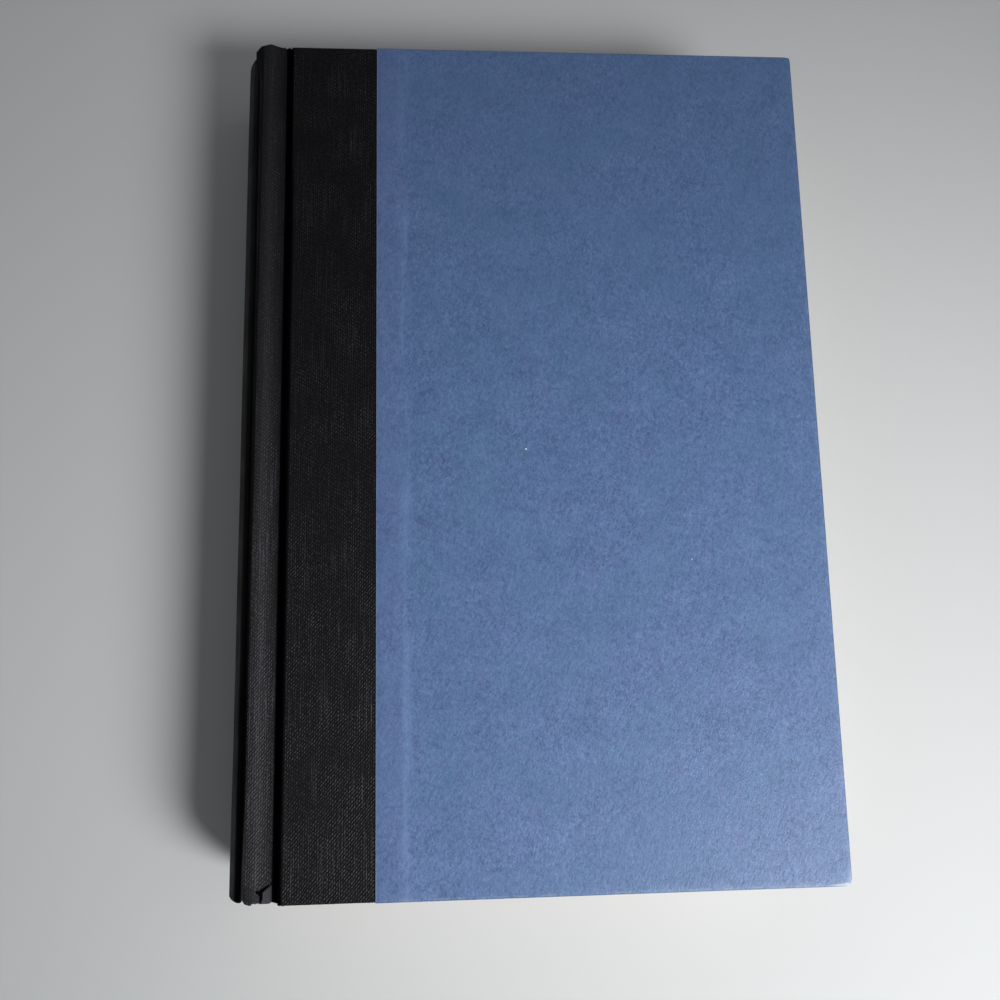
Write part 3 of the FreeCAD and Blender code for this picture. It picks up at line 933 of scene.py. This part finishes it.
def paper_side(name, worn):
    """Blue paper: a sheet on the cover's face, folded down over three edges and turned in."""
    piece = grid(name, PAPER_EDGE, FORE, HALF, TOP, 63, 120)
    pick(piece, "EDGE", lambda co: co.x > FORE - NEAR or abs(co.y) > HALF - NEAR)
    bpy.ops.mesh.extrude_region_move(TRANSFORM_OT_translate={"value": (0, 0, -COVER_THICKNESS)})
    bpy.ops.mesh.extrude_region_move(TRANSFORM_OT_translate={"value": (0, 0, 0)})
    length, turn_in = FORE - PAPER_EDGE, sizes().turn_in
    bpy.ops.transform.resize(value=((length - turn_in) / length, (HALF - turn_in) / HALF, 1),
                             center_override=(PAPER_EDGE, 0, TOP))
    bpy.ops.object.mode_set(mode="OBJECT")
    recalculated(piece)
    if sum(face.normal.z * face.area for face in piece.data.polygons if face.center.z > TOP - MM) < 0:
        whole(piece)
        bpy.ops.mesh.flip_normals()
        bpy.ops.object.mode_set(mode="OBJECT")
    finish_with(piece, "SOLIDIFY", thickness=COVERING * 0.9, offset=-1.0)
    bevelled(piece, sizes().edge_round, 4)
    cloth_end = PAPER_EDGE + sizes().cloth_under_paper
    for vertex in piece.data.vertices:
        co = vertex.co
        if co.z > TOP - 0.5 * COVER_THICKNESS:
            past_cloth = ease(co.x, cloth_end - 1.2 * MM, cloth_end + 1.2 * MM)
            co.z -= past_cloth * 0.10 * MM * ease(co.z, TOP - 1.2 * MM, TOP - 0.4 * MM)
    wear_corners(piece, worn)
    smooth(piece)
    return piece


def wear_corners(piece, worn):
    """Pushes in and rounds the two fore corners, on the worn side most at the tail."""
    for vertex in piece.data.vertices:
        co = vertex.co
        for end, amount in ((-1, 1.0 if worn else 0.35), (1, 0.45)):
            away = math.hypot(FORE - co.x, HALF - end * co.y)
            push = (1 - ease(away, 0.0, 1.8 * MM)) * amount * MM
            co.x -= push * 0.34
            co.y -= end * push * 0.30
            co.z -= push * 0.35 * (co.z - (TOP - COVER_THICKNESS)) / COVER_THICKNESS


def board(name, worn):
    """Grey board, thinner where the cloth lies on it, with the same knocked corners."""
    deselect()
    low_x, high_x = EDGE + COVERING, FORE - COVERING
    low_z, high_z = TOP - COVERING - BOARD, TOP - COVERING
    bpy.ops.mesh.primitive_cube_add(size=1, location=((low_x + high_x) / 2, 0, (low_z + high_z) / 2))
    piece = started(name, (high_x - low_x, 2 * (HALF - COVERING), BOARD))
    cloth_end = PAPER_EDGE + sizes().cloth_under_paper
    bpy.ops.object.mode_set(mode="EDIT")
    for x in (cloth_end, cloth_end + 0.3 * MM, high_x - 4.5 * MM, high_x - 2 * MM):
        cut_through((x, 0, 0), (1, 0, 0))
    for y in (4.5 * MM - HALF, 2 * MM - HALF, HALF - 4.5 * MM, HALF - 2 * MM):
        cut_through((0, y, 0), (0, 1, 0))
    pick(piece, "VERT", lambda co: co.z > high_z - NEAR and co.x < cloth_end + NEAR)
    bpy.ops.transform.translate(value=(0, 0, -COVERING))
    bpy.ops.object.mode_set(mode="OBJECT")
    bevelled(piece, 0.35 * MM, 3)
    wear_corners(piece, worn)
    smooth(piece)
    return piece


# Pages and endpapers

def page_block():
    """All the pages: a block cut into layers, rounded and backed at the spine, hollow in front."""
    deselect()
    base_low, base_high = TOP - LEAF_LOW.z, LEAF_LOW.z
    size = PAGES_HIGH - PAGES_LOW
    bpy.ops.mesh.primitive_cube_add(size=1, location=((PAGES_LOW.x + PAGES_HIGH.x) / 2, 0, MIDDLE))
    piece = started("page_block_leaves", (size.x, size.y, base_high - base_low))
    bpy.ops.object.mode_set(mode="EDIT")
    layers = sizes().leaf_layers
    for i in range(1, layers):
        cut_through((0, 0, base_low + (base_high - base_low) * i / layers), (0, 0, 1))
    for i in range(1, round(ROUNDED / ROUNDED_STEP) + 1):
        cut_through((PAGES_LOW.x + i * ROUNDED_STEP, 0, 0), (1, 0, 0))
    bpy.ops.object.mode_set(mode="OBJECT")
    shape_pages(piece, (base_high - base_low) / 2)
    smooth(piece, 25)
    return piece


def shape_pages(piece, half_pages):
    """Bends the layers into the round spine, its shoulders and the hollow fore edge."""
    rng = random.Random(LEAF_SEED)
    offsets = {}
    half_shoulder = MIDDLE - PAGES_LOW.z
    centre_x = spine_circle()[1]
    radius = centre_x - PAGES_LOW.x
    tip_x = centre_x - math.sqrt(radius ** 2 - half_shoulder ** 2)
    settled_x = PAGES_LOW.x + ROUNDED
    leaf = piece.data.attributes.new("leaf", "FLOAT", "POINT")
    for vertex in piece.data.vertices:
        co = vertex.co
        leaf.data[vertex.index].value = co.z
        level = round(co.z / (0.01 * MM))
        if level not in offsets:
            offsets[level] = (rng.uniform(0.0, 0.10) * MM, rng.uniform(-0.06, 0.06) * MM)
        end_offset, fore_offset = offsets[level]
        share = (co.z - MIDDLE) / half_pages
        end_x = centre_x - math.sqrt(radius ** 2 - (share * half_shoulder) ** 2)
        if co.x < settled_x:
            run = (co.x - PAGES_LOW.x) / ROUNDED
            co.x = end_x + run * (settled_x - end_x)
        flare = 1 - ease(co.x, tip_x, FOLD + 9 * MM * (1 - share ** 4))
        co.z = MIDDLE + share * (half_pages + (half_shoulder - half_pages) * flare)
        fore_side = ease(co.x, PAGES_HIGH.x - 1 * MM, PAGES_HIGH.x - 0.1 * MM)
        co.x -= fore_side * (FORE_HOLLOW * (1 - share ** 2) + 0.08 * MM + fore_offset)
        co.y -= math.copysign(end_offset, co.y)


def telegraphed(x, y):
    """How far a pastedown sinks inside the turn-ins beneath it."""
    inner = min(FORE - sizes().turn_in - x, HALF - sizes().turn_in - abs(y), x - EDGE - 28 * MM)
    return ease(inner, -0.8 * MM, 1.2 * MM) * 0.3 * MM


def pastedown(name):
    """The endpaper glued inside the cover and over the joint, as far as its fold."""
    face = TOP - COVER_THICKNESS - 0.02 * MM
    piece = grid(name, FOLD, PASTEDOWN_END, PAGES_HIGH.y, face, 160, 100)
    for vertex in piece.data.vertices:
        vertex.co.z += telegraphed(vertex.co.x, vertex.co.y)
    finish_with(piece, "SOLIDIFY", thickness=0.16 * MM, offset=-1.0)
    smooth(piece)
    return piece


def flyleaf(name):
    """The free leaf of the endpaper, lying on the pages, with a slight wave."""
    piece = grid(name, FOLD, LEAF_HIGH.x - 0.3 * MM, PAGES_HIGH.y - 0.1 * MM, LEAF_LOW.z + 0.17 * MM,
                 80, 60)
    for vertex in piece.data.vertices:
        co = vertex.co
        co.z += 0.04 * MM * noise.noise(Vector((co.x * 14, co.y * 11, 2.0)))
    finish_with(piece, "SOLIDIFY", thickness=0.12 * MM, offset=-1.0)
    smooth(piece)
    return piece


# Operators

class BOOK_OT_cloth(bpy.types.Operator):
    """Drape the black cloth over both joints and the spine"""
    bl_idname = "book.cloth"
    bl_label = "Cloth"

    def execute(self, context):
        finish = cloth_finish()
        for side, piece in two_sides(draped_cloth, "_cloth"):
            give(piece, finish)
            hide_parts(side + "_cloth_panel", "spine_cloth")
            side + "_cover"
            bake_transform(piece)
        return {"FINISHED"}


class BOOK_OT_spine_card(bpy.types.Operator):
    """Make the bendable card inside the spine"""
    bl_idname = "book.spine_card"
    bl_label = "Spine card"

    def execute(self, context):
        piece = spine_card()
        give(piece, plain_paper_finish("spine_card", colours().card, 0.7))
        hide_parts("spine_strip")
        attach(piece, "block")
        return {"FINISHED"}


class BOOK_OT_paper_sides(bpy.types.Operator):
    """Make the blue paper sides with their rubbed edges and corners"""
    bl_idname = "book.paper_sides"
    bl_label = "Paper sides"

    def execute(self, context):
        finish = paper_finish()
        for side, piece in two_sides(paper_side, "_paper"):
            give(piece, finish)
            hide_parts(side + "_paper_side")
            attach(piece, side + "_cover")
        return {"FINISHED"}


class BOOK_OT_boards(bpy.types.Operator):
    """Make the two grey boards"""
    bl_idname = "book.boards"
    bl_label = "Boards"

    def execute(self, context):
        finish = plain_paper_finish("grey_board", colours().board, 0.6)
        for side, piece in two_sides(board, "_board_core"):
            give(piece, finish)
            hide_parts(side + "_board")
            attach(piece, side + "_cover")
        return {"FINISHED"}


class BOOK_OT_pages(bpy.types.Operator):
    """Make the block of pages with its layered edges"""
    bl_idname = "book.pages"
    bl_label = "Pages"

    def execute(self, context):
        piece = page_block()
        give(piece, pages_finish())
        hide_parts("page_block")
        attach(piece, "block")
        return {"FINISHED"}


class BOOK_OT_endpapers(bpy.types.Operator):
    """Make the pastedowns and the free leaves"""
    bl_idname = "book.endpapers"
    bl_label = "Endpapers"

    def execute(self, context):
        finish = plain_paper_finish("endpaper", colours().endpaper)
        for side in SIDES:
            glued = pastedown(side + "_endpaper")
            free = flyleaf(side + "_free_leaf")
            if side == "back":
                to_back(glued)
                to_back(free)
            give(glued, finish)
            give(free, finish)
            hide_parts(side + "_pastedown")
            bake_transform(glued)
            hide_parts(side + "_flyleaf")
            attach(free, "block")
        return {"FINISHED"}


class BOOK_OT_inner_parts(bpy.types.Operator):
    """Give the gauze, the linings and the end bands their finishes"""
    bl_idname = "book.inner_parts"
    bl_label = "Inner parts"

    def execute(self, context):
        gauze = gauze_finish()
        lining = plain_paper_finish("lining_paper", colours().lining)
        thread = band_finish()
        finishes = {
            "mull": gauze, "front_mull_flange": gauze, "back_mull_flange": gauze,
            "spine_lining": lining, "head_band": thread, "tail_band": thread,
        }
        for name, finish in finishes.items():
            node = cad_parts[name]
            node.data.materials.clear()
            node.data.materials.append(finish)
        return {"FINISHED"}


class BOOK_OT_stage(bpy.types.Operator):
    """Set the floor, the soft light and the camera"""
    bl_idname = "book.stage"
    bl_label = "Stage"

    def execute(self, context):
        deselect()
        bpy.ops.mesh.primitive_plane_add(size=6, location=(0, 0, 0))
        floor = started("floor")
        floor.data.materials.append(floor_finish())
        floor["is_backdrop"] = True
        add_lamp("key", (0.57, -0.56, 0.66), (0.16, -0.20, 0.0), size=0.50, power=1.36, spread=50)
        add_lamp("fill", (0.9, 0.1, 0.9), (0, 0, 0), size=0.9, power=0.7, spread=180)
        world = bpy.data.worlds.new("studio")
        world.use_nodes = True
        sky = world.node_tree.nodes["Background"]
        sky.inputs["Color"].default_value = (0.92, 0.96, 1.0, 1.0)
        sky.inputs["Strength"].default_value = 0.155
        context.scene.world = world
        context.scene.view_settings.view_transform = "Standard"
        add_camera()
        return {"FINISHED"}


def add_lamp(name, place, aim, size, power, spread):
    """A round soft lamp aimed at a spot; its spread, in degrees, narrows the pool of light."""
    turn = (Vector(aim) - Vector(place)).to_track_quat("-Z", "Y").to_euler()
    bpy.ops.object.light_add(type="AREA", location=place, rotation=turn)
    lamp = bpy.context.object
    lamp.name = name
    lamp.data.shape = "DISK"
    lamp.data.size = size
    lamp.data.energy = power
    lamp.data.spread = math.radians(spread)


def add_camera():
    """The photograph's view: above the tail, a little to the spine side, turned a degree."""
    place = Vector((-25.71, -59.17, 295.17)) * MM
    aim = Vector((-8.67, -16.10, 36.5)) * MM
    roll = math.radians(-1.13)
    focal = 34.2
    back = (place - aim).normalized()
    right = Vector((0, 1, 0)).cross(back).normalized()
    up = back.cross(right)
    turned = Matrix.Rotation(roll, 3, back)
    right, up = turned @ right, turned @ up
    bpy.ops.object.camera_add(location=place)
    camera = bpy.context.object
    camera.name = "camera"
    camera.rotation_euler = Matrix((right, up, back)).transposed().to_euler()
    camera.data.lens = focal
    camera.data.sensor_width = 36
    camera.data.clip_start = 0.01
    bpy.context.scene.camera = camera


class BOOK_PT_panel(bpy.types.Panel):
    """Sizes, colours and steps of the book"""
    bl_idname = "BOOK_PT_panel"
    bl_label = "Quarter-bound book"
    bl_space_type = "VIEW_3D"
    bl_region_type = "UI"
    bl_category = "Book"

    def draw(self, context):
        for group in (context.scene.book_sizes, context.scene.book_colours):
            for name in group.__annotations__:
                self.layout.prop(group, name)
        for step in STEPS:
            self.layout.operator("book." + step)


STEPS = ("cloth", "spine_card", "paper_sides", "boards", "pages", "endpapers", "inner_parts", "stage")
CLASSES = (BookSizes, BookColours, BOOK_OT_cloth, BOOK_OT_spine_card, BOOK_OT_paper_sides,
           BOOK_OT_boards, BOOK_OT_pages, BOOK_OT_endpapers, BOOK_OT_inner_parts, BOOK_OT_stage,
           BOOK_PT_panel)


def register():
    for item in CLASSES:
        bpy.utils.register_class(item)
    bpy.types.Scene.book_sizes = bpy.props.PointerProperty(type=BookSizes)
    bpy.types.Scene.book_colours = bpy.props.PointerProperty(type=BookColours)


def unregister():
    del bpy.types.Scene.book_colours
    del bpy.types.Scene.book_sizes
    for item in reversed(CLASSES):
        bpy.utils.unregister_class(item)


def main():
    """Builds the whole scene."""
    register()
    for step in STEPS:
        getattr(bpy.ops.book, step)()
    boxes = [[list(corner) for corner in box] for box in (cad_box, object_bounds())]


if __name__ == "__main__":
    main()
